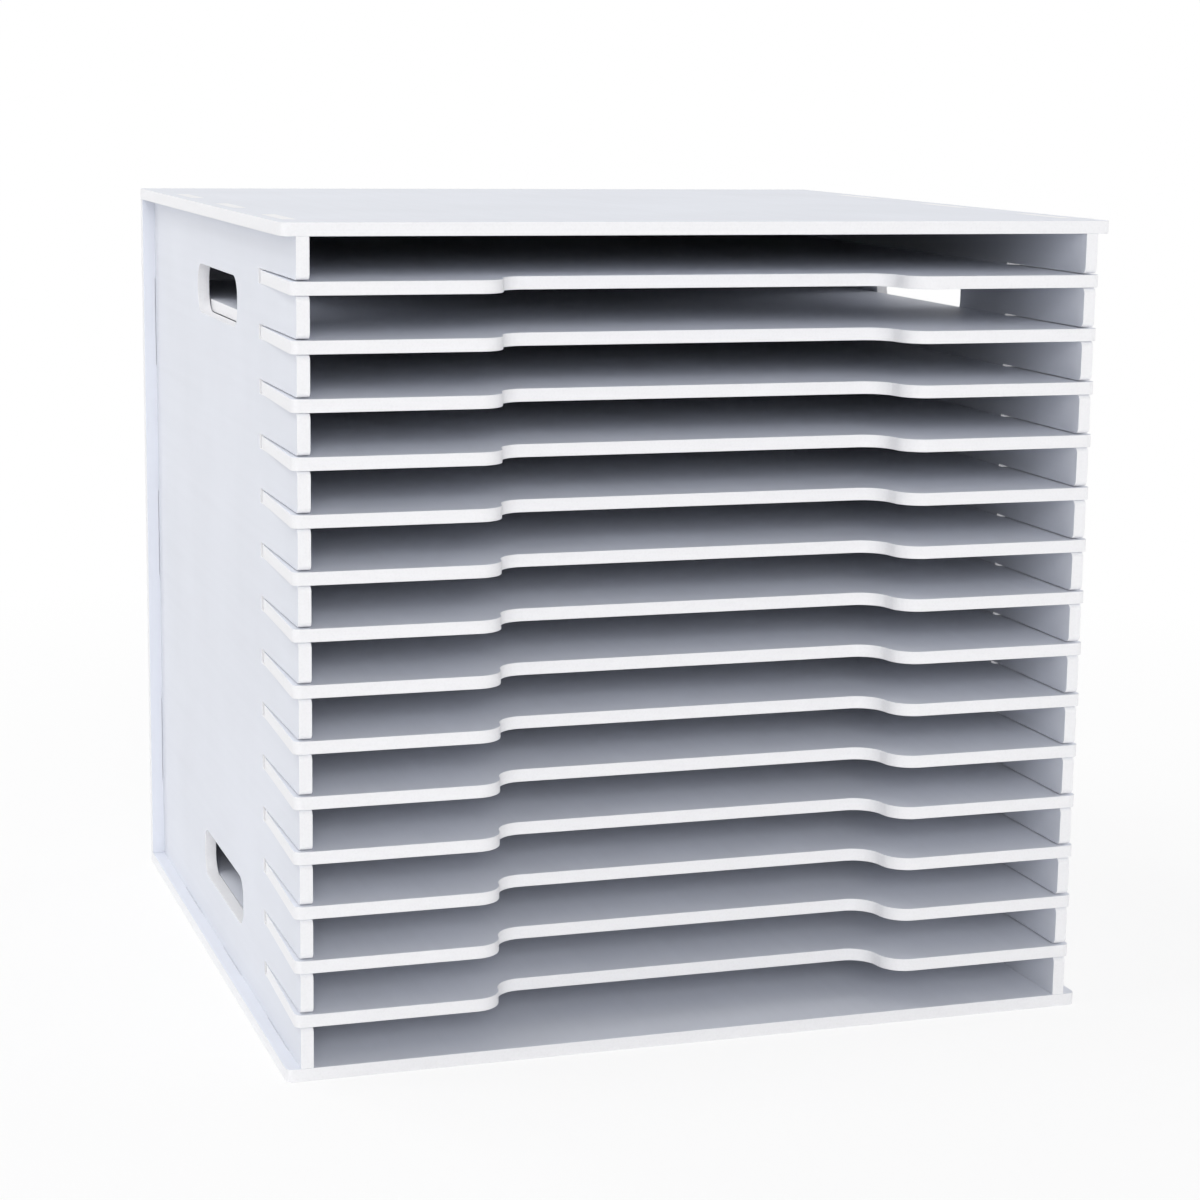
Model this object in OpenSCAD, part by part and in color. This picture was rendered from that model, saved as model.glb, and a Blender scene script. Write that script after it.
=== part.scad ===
// Flat-pack literature organizer: a case of five tenoned boards and a stack of slide-in shelves.
// The front is at -Y, the underside of the case is at Z = 0, and the origin is the middle of the underside.

/* [Case] */
// Thickness of every board
board_t = 5; // [4:0.5:8]
// Clear width between the side panels
inner_w = 310; // [230:1:400]
// Depth of the case from its front edges to the back of the back panel
case_d = 316; // [260:1:420]
// How far the top, bottom and back panels stand past the side panels
overhang = 5.5; // [3:0.5:15]
// Radius of the front corners of the top and bottom panels
panel_corner_r = 3; // [1:0.5:12]

/* [Tiers] */
// Number of shelves between the bottom and top panels
shelf_count = 14; // [12:1:20]
// Clear height of each tier
tier_gap = 16.1; // [12:0.1:40]

/* [Tenons] */
// Length of each through tenon on the side panels
tenon_l = 40; // [20:1:50]
// Middle of the first tenon on a top or bottom edge, behind the front edge
tenon_front_inset = 42; // [30:1:60]
// Middle of the last tenon on a top or bottom edge, ahead of the back panel
tenon_rear_inset = 81; // [30:1:100]
// Middle of the first and last tenons on a rear edge, from the ends of the case
tenon_end_inset = 61; // [35:1:80]
// Clearance between a tenon and each wall of its mortise
tenon_clear = 0.15; // [0.05:0.05:0.4]

/* [Shelves] */
// Length of the front ears that lie in the slots of the side panels
ear_l = 64; // [30:1:90]
// How far an ear's front end stands out of the side panel's outer face, from where it tapers to flush
ear_proud = 2; // [0:0.5:3]
// Radius of an ear's front corner
ear_corner_r = 3; // [0.5:0.5:6]
// Gap between a shelf and each side panel behind the ears
shelf_side_gap = 0.5; // [0.2:0.1:2]
// Width of the finger scoop at the front edge
scoop_w = 182; // [120:1:200]
// Depth of the finger scoop
scoop_d = 20; // [8:1:22]
// Width of the S-curve at each end of the scoop, at least its depth
scoop_run = 22; // [20:1:40]
// Width of each rear tab
tab_w = 40; // [20:1:60]
// Middle of each rear tab, from the side panel beside it
tab_inset = 65; // [40:1:100]

/* [Slots] */
// Room above a shelf in its slot
slot_room = 0.5; // [0.2:0.1:1]
// Room behind an ear in its slot
slot_end_room = 4; // [0.5:0.5:6]
// Radius of the teeth's front corners at each slot mouth
tooth_r = 2.5; // [0.5:0.5:4]
// Clearance at each end of a rear tab in the back panel
tab_clear = 0.5; // [0.2:0.1:1]

/* [Hand holes] */
// Length of a hand hole
hand_hole_l = 88; // [70:1:110]
// Height of a hand hole
hand_hole_h = 20.4; // [17:0.1:26]
// Corner radius of a hand hole
hand_hole_r = 8; // [2:0.5:10]

/* [Hidden] */
$fn = 64;
pitch = tier_gap + board_t;
case_h = (shelf_count + 1) * pitch + board_t;
case_w = inner_w + 2 * (board_t + overhang);
front_y = -case_d / 2;
side_d = case_d - board_t;
side_h = case_h - 2 * board_t;
slot_h = board_t + slot_room;
slot_d = ear_l + slot_end_room;
tab_x = inner_w / 2 - tab_inset;
// A hand hole ends level with the far face of the second shelf from its end of the case
hand_hole_z = 2 * pitch + board_t - hand_hole_h / 2;
// Middles of the tenons along a side panel's depth and along its height
tenons_y = spread(tenon_front_inset, side_d - tenon_rear_inset);
tenons_z = spread(tenon_end_inset, case_h - tenon_end_inset);
// Overshoot of a cut past the face it opens
cut = 1;

// Two ends and the middle between them
function spread(first, last) = [first, (first + last) / 2, last];
function shelf_name(i) = str("shelf_", i < 10 ? "0" : "", i);
function shelf_z(i) = i * pitch;

// Rectangle with its front corners rounded, its front edge on y = 0 and centred on x
module round_front(w, d, r) {
  translate([-w / 2, r]) square([w, d - r]);
  translate([r - w / 2, 0]) square([w - 2 * r, d]);
  for (s = [-1, 1]) translate([s * (w / 2 - r), r]) circle(r);
}

// Rectangle with four round corners, centred
module round_slot(l, h, r) {
  square([l - 2 * r, h], center = true);
  square([l, h - 2 * r], center = true);
  for (sx = [-1, 1], sy = [-1, 1]) translate([sx * (l / 2 - r), sy * (h / 2 - r)]) circle(r);
}

// Hole for one through tenon, centred, with its length along y
module mortise() {
  square([board_t + 2 * tenon_clear, tenon_l + 2 * tenon_clear], center = true);
}

// Top or bottom board, lying on z = 0, with a mortise for every tenon of the side panels
module capped_panel() {
  translate([0, front_y, 0])
    linear_extrude(board_t)
      difference() {
        round_front(case_w, case_d, panel_corner_r);
        for (s = [-1, 1], y = tenons_y)
          translate([s * (inner_w + board_t) / 2, y]) mortise();
      }
}

// Slot for one shelf's ear, open at the front edge, with its mouth eased by the teeth's round corners
module comb_slot() {
  translate([-cut, 0]) square([slot_d + cut, slot_h]);
  translate([-cut, -tooth_r])
    difference() {
      square([tooth_r + cut, slot_h + 2 * tooth_r]);
      for (y = [0, slot_h + 2 * tooth_r]) translate([tooth_r + cut, y]) circle(tooth_r);
    }
}

// Side panel's outline: depth runs along x from the front edge, height along y from the case's underside
module side_outline() {
  difference() {
    union() {
      translate([0, board_t]) square([side_d, side_h]);
      for (y = tenons_y)
        translate([y - tenon_l / 2, 0]) square([tenon_l, case_h]);
      for (z = tenons_z)
        translate([side_d - cut, z - tenon_l / 2]) square([board_t + cut, tenon_l]);
    }
    for (i = [1:shelf_count]) translate([0, shelf_z(i)]) comb_slot();
    for (z = [hand_hole_z, case_h - hand_hole_z])
      translate([side_d / 2, z]) round_slot(hand_hole_l, hand_hole_h, hand_hole_r);
  }
}

// Side panel whose inner face lies on x = 0, with its thickness towards +X
module side_panel() {
  translate([0, front_y, 0]) rotate([90, 0, 90]) linear_extrude(board_t) side_outline();
}

// Finger scoop at the front edge: each end is an S of two equal tangent arcs, so that
// run^2 + depth^2 = 4 * radius * depth
module scoop() {
  r = (scoop_run * scoop_run + scoop_d * scoop_d) / (4 * scoop_d);
  mouth = scoop_w / 2;
  floor_end = mouth - scoop_run;
  middle = mouth - scoop_run / 2;
  difference() {
    union() {
      polygon([
        [-mouth, -cut], [mouth, -cut], [mouth, 0], [middle, scoop_d / 2], [floor_end, scoop_d],
        [-floor_end, scoop_d], [-middle, scoop_d / 2], [-mouth, 0]
      ]);
      for (s = [-1, 1]) translate([s * floor_end, scoop_d - r]) circle(r);
    }
    for (s = [-1, 1]) translate([s * mouth, r]) circle(r);
  }
}

// Front band of a shelf with its ears: each side leans in from proud to flush with the side panel's
// outer face, and its front corner is an arc tangent to the front edge and to the leaning side
module ear_band() {
  flush_x = inner_w / 2 + board_t;
  lean = atan(ear_proud / ear_l);
  arc_x = flush_x + ear_proud - ear_corner_r * (1 / cos(lean) + tan(lean));
  side_x = arc_x + ear_corner_r * cos(lean);
  side_y = ear_corner_r * (1 + sin(lean));
  polygon([
    [-arc_x, 0], [arc_x, 0], [side_x, side_y], [flush_x, ear_l],
    [-flush_x, ear_l], [-side_x, side_y]
  ]);
  for (s = [-1, 1]) translate([s * arc_x, ear_corner_r]) circle(ear_corner_r);
}

// Plan of a shelf with its front edge on y = 0: ears, body between the side panels, rear tabs and scoop
module shelf_outline() {
  body_w = inner_w - 2 * shelf_side_gap;
  difference() {
    union() {
      ear_band();
      translate([-body_w / 2, ear_l - cut]) square([body_w, side_d - ear_l + cut]);
      for (s = [-1, 1])
        translate([s * tab_x - tab_w / 2, side_d - cut]) square([tab_w, board_t + cut]);
    }
    scoop();
  }
}

module top_panel() {
  color("white") translate([0, 0, case_h - board_t]) capped_panel();
}

module bottom_panel() {
  color("white") capped_panel();
}

// Stands between the top and bottom panels, with mortises for tenons and slots for the shelves' tabs
module back_panel() {
  slot_w = tab_w + 2 * tab_clear;
  color("white")
    translate([0, case_d / 2, 0])
      rotate([90, 0, 0])
        linear_extrude(board_t)
          difference() {
            translate([-case_w / 2, board_t]) square([case_w, side_h]);
            for (s = [-1, 1], z = tenons_z)
              translate([s * (inner_w + board_t) / 2, z]) mortise();
            for (s = [-1, 1], i = [1:shelf_count])
              translate([s * tab_x - slot_w / 2, shelf_z(i)]) square([slot_w, slot_h]);
          }
}

module left_side_panel() {
  color("white") mirror([1, 0, 0]) translate([inner_w / 2, 0, 0]) side_panel();
}

module right_side_panel() {
  color("white") translate([inner_w / 2, 0, 0]) side_panel();
}

module shelf(i) {
  color("white") translate([0, front_y, shelf_z(i)]) linear_extrude(board_t) shelf_outline();
}

top_panel();
bottom_panel();
back_panel();
left_side_panel();
right_side_panel();
for (i = [1:shelf_count]) shelf(i);
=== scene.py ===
# %% [markdown]
# # A white literature organizer, board by board
# The real organizer is a flat-pack. Five boards make the case, and fourteen shelves slide into comb
# slots in its sides. Every board is cut from the same 5 mm sheet of foamed PVC, so its look rests on
# three things: the satin skin on the wide faces, the whiter routed edges, and soft light that lets
# the gaps between boards read.
# The boards could be modelled again here, but their solids already have the true outlines. So this
# lesson keeps them and gives them eased edges, a finish and a studio.

# %% Load the boards
import math

import bpy
import numpy as np
from mathutils import Matrix, Vector


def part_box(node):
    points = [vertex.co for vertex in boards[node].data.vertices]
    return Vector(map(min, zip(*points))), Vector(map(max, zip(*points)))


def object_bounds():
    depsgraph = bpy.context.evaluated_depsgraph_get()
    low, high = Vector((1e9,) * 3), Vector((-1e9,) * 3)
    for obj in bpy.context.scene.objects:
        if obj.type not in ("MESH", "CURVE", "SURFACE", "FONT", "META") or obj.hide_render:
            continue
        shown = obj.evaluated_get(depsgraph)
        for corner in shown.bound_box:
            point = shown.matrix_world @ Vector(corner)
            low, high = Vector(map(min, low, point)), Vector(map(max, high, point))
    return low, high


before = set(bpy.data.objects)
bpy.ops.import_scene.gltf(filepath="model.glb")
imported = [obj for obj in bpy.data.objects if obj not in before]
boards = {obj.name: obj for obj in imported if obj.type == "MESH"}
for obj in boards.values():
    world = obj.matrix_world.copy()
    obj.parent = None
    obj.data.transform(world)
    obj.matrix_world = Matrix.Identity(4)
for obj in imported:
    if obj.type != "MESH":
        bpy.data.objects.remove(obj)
cad_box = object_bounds()
MM = 0.001

low, high = (np.array(corner) for corner in cad_box)

# %% [markdown]
# ## Which way a board lies
# A sheet is skinned on its two wide faces and cut on all the others. The finish needs to know which
# faces are which. Painting a mask by hand on nineteen boards would work, but a board's box already
# tells: its shortest side is its thickness, and the wide faces look along it.

# %% Thickness direction of each board
def thin_axis(node):
    """Index of the shortest side of a board's box: 0, 1 or 2 for x, y or z."""
    corner_low, corner_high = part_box(node)
    return int(np.argmin(np.subtract(corner_high, corner_low)))


thin = {node: thin_axis(node) for node in boards}
boards_along = {"xyz"[axis]: list(thin.values()).count(axis) for axis in (0, 1, 2)}
print(boards_along, "boards by thickness direction")

# %% [markdown]
# ## Eased edges
# A router leaves a crisp corner, and a quick pass with a sanding block takes the sharpness off it.
# The flat that is left is only about a fifth of a millimetre, but it catches light along every board
# and makes the edges look real. A shader can fake it with bent normals. A Bevel modifier is used
# instead, because it is real geometry from every side. The solids arrive as loose triangles, so Weld
# joins them and Decimate melts flat triangles into whole faces first. Last comes smooth shading,
# weighted so that the wide faces stay flat.

# %% Shading that runs smoothly over the eased edges
def smooth_shading():
    """Node group that marks every face and edge of a mesh as smooth."""
    group = bpy.data.node_groups.new("smooth_shading", "GeometryNodeTree")
    for way in ("INPUT", "OUTPUT"):
        group.interface.new_socket("Geometry", in_out=way, socket_type="NodeSocketGeometry")
    mesh = group.nodes.new("NodeGroupInput").outputs[0]
    for domain in ("FACE", "EDGE"):
        step = group.nodes.new("GeometryNodeSetShadeSmooth")
        step.domain = domain
        group.links.new(mesh, step.inputs["Geometry"])
        mesh = step.outputs["Geometry"]
    group.links.new(mesh, group.nodes.new("NodeGroupOutput").inputs[0])
    return group


smooth = smooth_shading()
print("smooth shading group with", len(smooth.nodes), "nodes")

# %% Ease every board
EASE = 0.2 * MM
EASE_SEGMENTS = 2
WELD_GAP = 0.02 * MM
# Edges flatter than the first angle melt away, and edges sharper than the second are eased
FLAT_DEG, CORNER_DEG = 0.5, 40
WIDE_FACE_WEIGHT = 80


def ease(board):
    """Weld, flatten, bevel and shade one board."""
    weld = board.modifiers.new("join_triangles", "WELD")
    weld.merge_threshold = WELD_GAP
    flat = board.modifiers.new("whole_faces", "DECIMATE")
    flat.decimate_type = "DISSOLVE"
    flat.angle_limit = math.radians(FLAT_DEG)
    bevel = board.modifiers.new("sanded_edge", "BEVEL")
    bevel.width = EASE
    bevel.segments = EASE_SEGMENTS
    bevel.limit_method = "ANGLE"
    bevel.angle_limit = math.radians(CORNER_DEG)
    board.modifiers.new("smooth", "NODES").node_group = smooth
    board.modifiers.new("flat_wide_faces", "WEIGHTED_NORMAL").weight = WIDE_FACE_WEIGHT


for board in boards.values():
    ease(board)
print("eased edge:", EASE / MM, "mm on", len(boards), "boards")

# %% [markdown]
# ## Tools for materials
# Colours are written as sRGB hex, the way a paint program shows them, and Blender wants them linear.
# Patterns are written in millimetres, and Blender's textures want features per metre. Two small
# functions turn one into the other, and a third adds any node with its settings, values and links in
# one line.

# %% Colour, scale and node helpers
WHITE = "#ffffff"


def linear(hex_colour):
    """Linear RGBA of an sRGB hex colour: c / 12.92 near black, else ((c + 0.055) / 1.055) ** 2.4."""
    srgb = np.array([int(hex_colour[start:start + 2], 16) for start in (1, 3, 5)]) / 255
    rgb = np.where(srgb <= 0.04045, srgb / 12.92, ((srgb + 0.055) / 1.055) ** 2.4)
    return (*rgb.tolist(), 1.0)


def per_metre(size_mm):
    """Texture scale at which one feature is this many millimetres across."""
    return 1 / (size_mm * MM)


def add(tree, kind, values=None, **settings):
    """Add a node. Settings are its properties, and values fill its sockets with a number or a link."""
    node = tree.nodes.new(kind)
    for name, value in settings.items():
        setattr(node, name, value)
    for socket, value in (values or {}).items():
        if isinstance(value, bpy.types.NodeSocket):
            tree.links.new(value, node.inputs[socket])
        else:
            node.inputs[socket].default_value = value
    return node


print("white in linear light:", linear(WHITE), "and mid grey:", round(linear("#808080")[0], 3))

# %% [markdown]
# ## Where a pattern sits on a board
# Object coordinates are the same metres that the boards were drawn in, so a pattern stays put when a
# shelf slides out. Each board gets its own stretch of pattern, as if it came from another part of the
# sheet: a Mapping node turns the coordinates until the thickness runs along z, then moves them by a
# step for each board.

# %% Coordinates and skin mask
QUARTER = math.radians(90)
TURN = {0: (0, QUARTER, 0), 1: (QUARTER, 0, 0), 2: (0, 0, 0)}
STEP_M = 0.71
# Part of the normal along the thickness where the skin starts, and where it is whole
SKIN_STARTS, SKIN_WHOLE = 0.7, 0.95


def sheet_place(tree, axis, number):
    """Object coordinates turned so that z is the thickness, at this board's part of the sheet."""
    coords = add(tree, "ShaderNodeTexCoord")
    shift = (number * STEP_M, number * STEP_M, 0)
    turned = add(tree, "ShaderNodeMapping", {
        "Vector": coords.outputs["Object"], "Rotation": TURN[axis], "Location": shift})
    return turned.outputs["Vector"]


def skin_mask(tree, axis):
    """One on the wide faces and zero on the cut edges, from the normal's part along the thickness."""
    coords = add(tree, "ShaderNodeTexCoord")
    parts = add(tree, "ShaderNodeSeparateXYZ", {0: coords.outputs["Normal"]})
    size = add(tree, "ShaderNodeMath", {0: parts.outputs[axis]}, operation="ABSOLUTE")
    mask = add(tree, "ShaderNodeMapRange", {
        "Value": size.outputs[0], "From Min": SKIN_STARTS, "From Max": SKIN_WHOLE})
    return mask.outputs["Result"]


print("each board takes its pattern", STEP_M, "m further along the sheet")

# %% [markdown]
# ## The extruded skin
# Foamed PVC comes out of the die as a sheet and is drawn through cooled plates, which close its
# surface to a satin skin. The skin is a slightly blue white. It is never perfectly even: it drifts in
# tone over a hand's width, has faint streaks along the way it was drawn, and a fine pebble like
# orange peel. Three noises give those, each at its own size.

# %% Skin tone, roughness and pebble
SKIN_LIGHT, SKIN_SHADE = "#e9ecf4", "#e3e6ee"
SKIN_SMOOTH, SKIN_ROUGH = 0.46, 0.56
CLOUD_MM, STREAK_MM, PEBBLE_MM = 70, 4, 1.6
CLOUD_DETAIL, STREAK_DETAIL, PEBBLE_DETAIL = 3, 2, 1
STREAK_STRETCH, STREAK_SHARE = 0.02, 0.35
# Cloud and streaks together, where the tone is all shade, and where it is all light
ALL_SHADE, ALL_LIGHT = 0.45, 0.9
PEBBLE_HEIGHT_MM = 0.006
# Some sockets of a Mix node share a name, so they go by number
SHARE, COLOUR_A, COLOUR_B, MIXED_COLOUR = 0, 6, 7, 2


def extruded_skin(tree, place):
    """Tone, roughness and height in mm of the skin: a wide cloud, stretched streaks, a fine pebble."""
    cloud = add(tree, "ShaderNodeTexNoise", {
        "Vector": place, "Scale": per_metre(CLOUD_MM), "Detail": CLOUD_DETAIL})
    drawn = add(tree, "ShaderNodeMapping", {"Vector": place, "Scale": (1, STREAK_STRETCH, 1)})
    streak = add(tree, "ShaderNodeTexNoise", {
        "Vector": drawn.outputs["Vector"], "Scale": per_metre(STREAK_MM), "Detail": STREAK_DETAIL})
    both = add(tree, "ShaderNodeMath", {
        0: streak.outputs[0], 1: STREAK_SHARE, 2: cloud.outputs[0]}, operation="MULTIPLY_ADD")
    drift = add(tree, "ShaderNodeMapRange", {
        "Value": both.outputs[0], "From Min": ALL_SHADE, "From Max": ALL_LIGHT})
    ends = {COLOUR_A: linear(SKIN_SHADE), COLOUR_B: linear(SKIN_LIGHT)}
    tone = add(tree, "ShaderNodeMix", {SHARE: drift.outputs["Result"], **ends}, data_type="RGBA")
    roughness = add(tree, "ShaderNodeMapRange", {
        "Value": cloud.outputs[0], "To Min": SKIN_SMOOTH, "To Max": SKIN_ROUGH})
    pebble = add(tree, "ShaderNodeTexNoise", {
        "Vector": place, "Scale": per_metre(PEBBLE_MM), "Detail": PEBBLE_DETAIL})
    height = add(tree, "ShaderNodeMath", {
        0: pebble.outputs[0], 1: PEBBLE_HEIGHT_MM}, operation="MULTIPLY")
    return tone.outputs[MIXED_COLOUR], roughness.outputs["Result"], height.outputs[0]


print("skin: clouds", CLOUD_MM, "mm, streaks", STREAK_MM, "mm, pebble", PEBBLE_MM, "mm")

# %% [markdown]
# ## The routed edge
# The cutter opens the foam, so an edge is whiter and more matt than the skin, with tiny cells and a
# row of feed marks that cross the thickness. The cells of real board are about 0.2 mm and the marks
# about 1 mm apart. Both are drawn coarser here, because they would vanish between the pixels. The
# marks are a sine wave of x + y, which crosses the edge whether the cut runs along x or along y.

# %% Edge tone, roughness and feed marks
EDGE_LIGHT, EDGE_CELL = "#f9f9fb", "#f6f6f8"
CELL_ROUGH, WALL_ROUGH = 0.72, 0.56
CELL_MM, CELL_DETAIL = 0.9, 2
# Noise below the first value is open cell, and above the second it is the wall between cells
OPEN_CELL, CELL_WALL = 0.3, 0.55
FEED_MM, FEED_HEIGHT_MM = 2.2, 0.002


def routed_edge(tree, place):
    """Tone, roughness and height in mm of a cut: foam cells, and marks as sin(2 pi (x + y) / feed)."""
    cells = add(tree, "ShaderNodeTexNoise", {
        "Vector": place, "Scale": per_metre(CELL_MM), "Detail": CELL_DETAIL})
    walls = add(tree, "ShaderNodeMapRange", {
        "Value": cells.outputs[0], "From Min": OPEN_CELL, "From Max": CELL_WALL})
    ends = {COLOUR_A: linear(EDGE_CELL), COLOUR_B: linear(EDGE_LIGHT)}
    tone = add(tree, "ShaderNodeMix", {SHARE: walls.outputs["Result"], **ends}, data_type="RGBA")
    roughness = add(tree, "ShaderNodeMapRange", {
        "Value": cells.outputs[0], "To Min": CELL_ROUGH, "To Max": WALL_ROUGH})
    parts = add(tree, "ShaderNodeSeparateXYZ", {0: place})
    run = add(tree, "ShaderNodeMath", {0: parts.outputs[0], 1: parts.outputs[1]}, operation="ADD")
    turns = add(tree, "ShaderNodeMath", {
        0: run.outputs[0], 1: math.tau * per_metre(FEED_MM)}, operation="MULTIPLY")
    marks = add(tree, "ShaderNodeMath", {0: turns.outputs[0]}, operation="SINE")
    height = add(tree, "ShaderNodeMath", {
        0: marks.outputs[0], 1: FEED_HEIGHT_MM}, operation="MULTIPLY")
    return tone.outputs[MIXED_COLOUR], roughness.outputs["Result"], height.outputs[0]


print("edge: cells drawn", CELL_MM, "mm, feed marks", FEED_MM, "mm apart")

# %% [markdown]
# ## One sheet, nineteen boards
# Skin and edge meet in one material: the mask picks the skin on the wide faces and the foam on the
# cuts, and the eased corners fall between the two. Each board gets its own copy with its own stretch
# of pattern, so that no two look the same. PVC bends light a little more than acrylic does, so its
# IOR is about 1.53.

# %% Foamed PVC for every board
PVC_IOR = 1.53
# Sockets of a Mix node that blends plain numbers
NUMBER_A, NUMBER_B, MIXED_NUMBER = 2, 3, 0


def foamed_pvc(name, axis, number):
    """Foamed PVC sheet: satin extruded skin on the wide faces, matt routed foam on the edges."""
    material = bpy.data.materials.new(name)
    material.use_nodes = True
    tree = material.node_tree
    place = sheet_place(tree, axis, number)
    mask = skin_mask(tree, axis)
    skin_tone, skin_roughness, skin_height = extruded_skin(tree, place)
    edge_tone, edge_roughness, edge_height = routed_edge(tree, place)
    tone = add(tree, "ShaderNodeMix", {
        SHARE: mask, COLOUR_A: edge_tone, COLOUR_B: skin_tone}, data_type="RGBA")
    roughness = add(tree, "ShaderNodeMix", {
        SHARE: mask, NUMBER_A: edge_roughness, NUMBER_B: skin_roughness})
    height = add(tree, "ShaderNodeMix", {
        SHARE: mask, NUMBER_A: edge_height, NUMBER_B: skin_height})
    bump = add(tree, "ShaderNodeBump", {
        "Height": height.outputs[MIXED_NUMBER], "Distance": MM, "Strength": 1.0})
    shader = tree.nodes["Principled BSDF"]
    shader.inputs["IOR"].default_value = PVC_IOR
    tree.links.new(tone.outputs[MIXED_COLOUR], shader.inputs["Base Color"])
    tree.links.new(roughness.outputs[MIXED_NUMBER], shader.inputs["Roughness"])
    tree.links.new(bump.outputs["Normal"], shader.inputs["Normal"])
    return material


for number, (node, board) in enumerate(sorted(boards.items())):
    board.material_slots[0].material = foamed_pvc(f"foamed_pvc_{node}", thin[node], number)
print(len(boards), "sheets of foamed PVC, IOR", PVC_IOR)

# %% [markdown]
# ## White surroundings
# A product on white needs a world that looks white but doesn't flood the boards with light. Rays from
# the camera, and rays that bounce off a gloss, see the world at full white. All other rays, which
# carry the light, see it at a lower sky level. A Light Path node tells the two apart.

# %% World that lights gently and looks white
SKY_LEVEL = 0.45


def seen_directly(tree):
    """One for camera and glossy rays, which should see white, and zero for rays that carry light."""
    rays = add(tree, "ShaderNodeLightPath")
    either = add(tree, "ShaderNodeMath", {
        0: rays.outputs["Is Camera Ray"], 1: rays.outputs["Is Glossy Ray"]}, operation="MAXIMUM")
    return either.outputs[0]


world = bpy.data.worlds.new("white_studio")
world.use_nodes = True
sky_tree = world.node_tree
level = add(sky_tree, "ShaderNodeMapRange", {
    "Value": seen_directly(sky_tree), "To Min": SKY_LEVEL, "To Max": 1.0})
sky = sky_tree.nodes["Background"]
sky.inputs["Color"].default_value = linear(WHITE)
sky_tree.links.new(level.outputs["Result"], sky.inputs["Strength"])
bpy.context.scene.world = world
print("sky level", SKY_LEVEL)

# %% [markdown]
# ## The floor
# The floor is pale matt paint. Painted floor alone would look grey beside the white world, so the
# rays that look straight at it see part paint, which takes the shadow, and part white glow. The
# glow's share grows with the distance from the object, so the floor runs into the white behind it
# with no horizon line.

# %% Floor that is white but keeps a shadow
FLOOR_COLOUR = "#f7f7f8"
FLOOR_HALF_M = 6.0
# Distances from the origin where the glow starts to grow, and where nothing but glow is seen
NEAR_M, FAR_M = 0.3, 0.9
GLOW_NEAR = 0.85


def studio_paint():
    """Pale matt paint. Rays that look at it see part white glow, and more of it far from the origin."""
    material = bpy.data.materials.new("matt_studio_paint")
    material.use_nodes = True
    tree = material.node_tree
    tree.nodes.remove(tree.nodes["Principled BSDF"])
    coords = add(tree, "ShaderNodeTexCoord")
    distance = add(tree, "ShaderNodeVectorMath", {0: coords.outputs["Object"]}, operation="LENGTH")
    reach = {"From Min": NEAR_M, "From Max": FAR_M, "To Min": GLOW_NEAR, "To Max": 1.0}
    spread = add(tree, "ShaderNodeMapRange", {"Value": distance.outputs["Value"], **reach})
    share = add(tree, "ShaderNodeMath", {
        0: seen_directly(tree), 1: spread.outputs["Result"]}, operation="MULTIPLY")
    paint = add(tree, "ShaderNodeBsdfDiffuse", {"Color": linear(FLOOR_COLOUR)})
    glow = add(tree, "ShaderNodeEmission", {"Color": linear(WHITE), "Strength": 1.0})
    both = add(tree, "ShaderNodeMixShader", {
        0: share.outputs[0], 1: paint.outputs[0], 2: glow.outputs[0]})
    tree.links.new(both.outputs[0], tree.nodes["Material Output"].inputs["Surface"])
    return material


corners = np.array([(-1, -1, 0), (1, -1, 0), (1, 1, 0), (-1, 1, 0)]) * FLOOR_HALF_M
floor_mesh = bpy.data.meshes.new("studio_floor")
floor_mesh.from_pydata(corners.tolist(), [], [(0, 1, 2, 3)])
floor_mesh.materials.append(studio_paint())
floor = bpy.data.objects.new("studio_floor", floor_mesh)
bpy.context.collection.objects.link(floor)
print("floor", 2 * FLOOR_HALF_M, "m square at z = 0")

# %% [markdown]
# ## Softboxes
# White boards only show their form if the light differs a little from side to side. Large softboxes
# do that on top of the even sky. They stand well away, so that the light is even over each side.
# The strongest stands almost straight in front, so that the front edges shine while the inner walls
# of the tiers, which it only grazes, stay darker. The left one is high, so that the top's overhang
# and the ears of the shelves cast a soft shade on the boards below them. Weaker ones on the right
# and behind fill the other sides.
# A low lamp would glare on the top board for anyone who looks from the far side, so glossy rays
# don't see the lamps: the satin sheen comes from the white surroundings alone. Lamps can be aimed by
# hand, but here each one is placed by its direction from the middle of the case, which keeps the rig
# easy to read.

# %% Four softboxes
CASE_MIDDLE = Vector(((low + high) / 2).tolist())
SOFTBOX_M, SOFTBOX_DISTANCE_M = 1.8, 4.8


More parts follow.
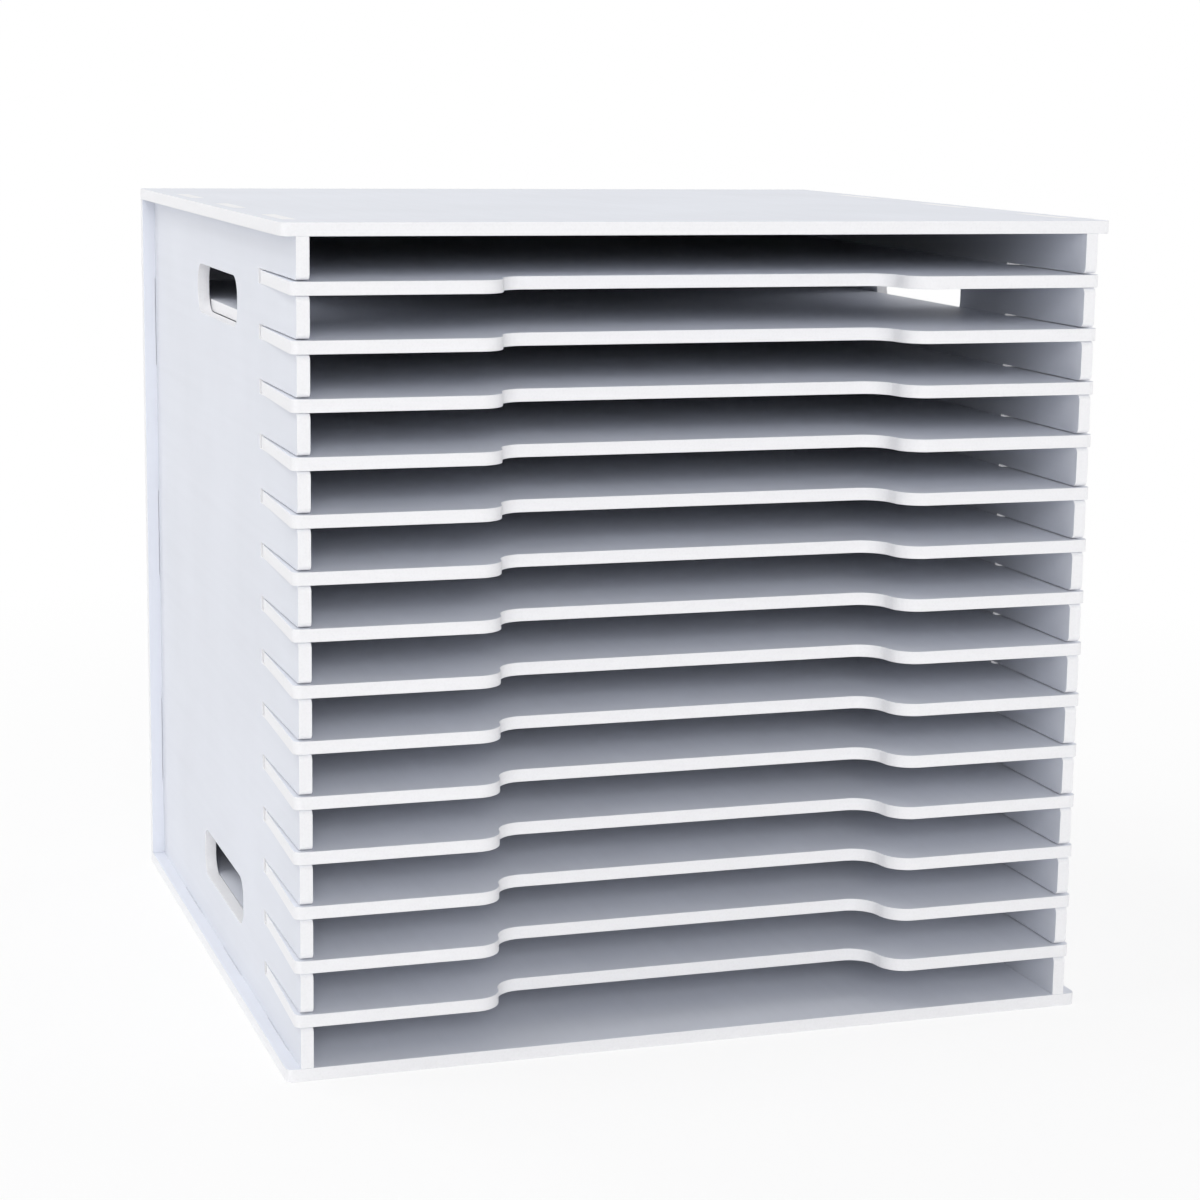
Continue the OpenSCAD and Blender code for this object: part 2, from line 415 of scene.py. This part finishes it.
def softbox(name, azimuth, elevation, watts):
    """Square lamp that looks at the case. In degrees, azimuth 0 is in front and 90 on the right."""
    turn, rise = math.radians(azimuth), math.radians(elevation)
    level_part = math.cos(rise)
    away = Vector((math.sin(turn) * level_part, -math.cos(turn) * level_part, math.sin(rise)))
    data = bpy.data.lights.new(name, "AREA")
    data.size = SOFTBOX_M
    data.energy = watts
    lamp = bpy.data.objects.new(name, data)
    lamp.location = CASE_MIDDLE + away * SOFTBOX_DISTANCE_M
    lamp.rotation_euler = away.to_track_quat("Z", "Y").to_euler()
    lamp.visible_glossy = False
    bpy.context.collection.objects.link(lamp)
    return lamp


rig = [
    softbox("front_softbox", azimuth=-12, elevation=18, watts=78),
    softbox("left_softbox", azimuth=-95, elevation=60, watts=53),
    softbox("right_softbox", azimuth=100, elevation=15, watts=46),
    softbox("back_softbox", azimuth=215, elevation=20, watts=52),
]
print({lamp.name: lamp.data.energy for lamp in rig}, "watts")

# %% [markdown]
# ## Camera
# The picture was taken from in front of the case, a little to its left and just above its top, with a
# long lens. The place and angles below were worked out from the edges of the boards. The camera is
# turned in three steps: about the upright for the heading, then down by the pitch, then round its own
# axis for the slight roll.

# %% Camera at the picture's angle
CAMERA_MM = (-367.1, -1129.5, 369.9)
HEADING_DEG, PITCH_DEG, ROLL_DEG = 18.4, 10.53, 0.80
LENS_MM, SENSOR_MM = 82.6, 36.0

camera_data = bpy.data.cameras.new("camera")
camera_data.sensor_width = SENSOR_MM
camera_data.lens = LENS_MM
camera = bpy.data.objects.new("camera", camera_data)
heading = Matrix.Rotation(math.radians(-HEADING_DEG), 4, "Z")
pitch = Matrix.Rotation(math.radians(90 - PITCH_DEG), 4, "X")
roll = Matrix.Rotation(math.radians(ROLL_DEG), 4, "Z")
camera.matrix_world = Matrix.Translation(Vector(CAMERA_MM) * MM) @ heading @ pitch @ roll
bpy.context.collection.objects.link(camera)
bpy.context.scene.camera = camera
bpy.context.scene.view_settings.view_transform = "Standard"
print("camera at", [round(v, 3) for v in camera.location], "with a lens of", LENS_MM, "mm")

# %% [markdown]
# ## End of the scene
# Nothing here may make the organizer larger than its solids.

# %% End of the scene
print("scene built")
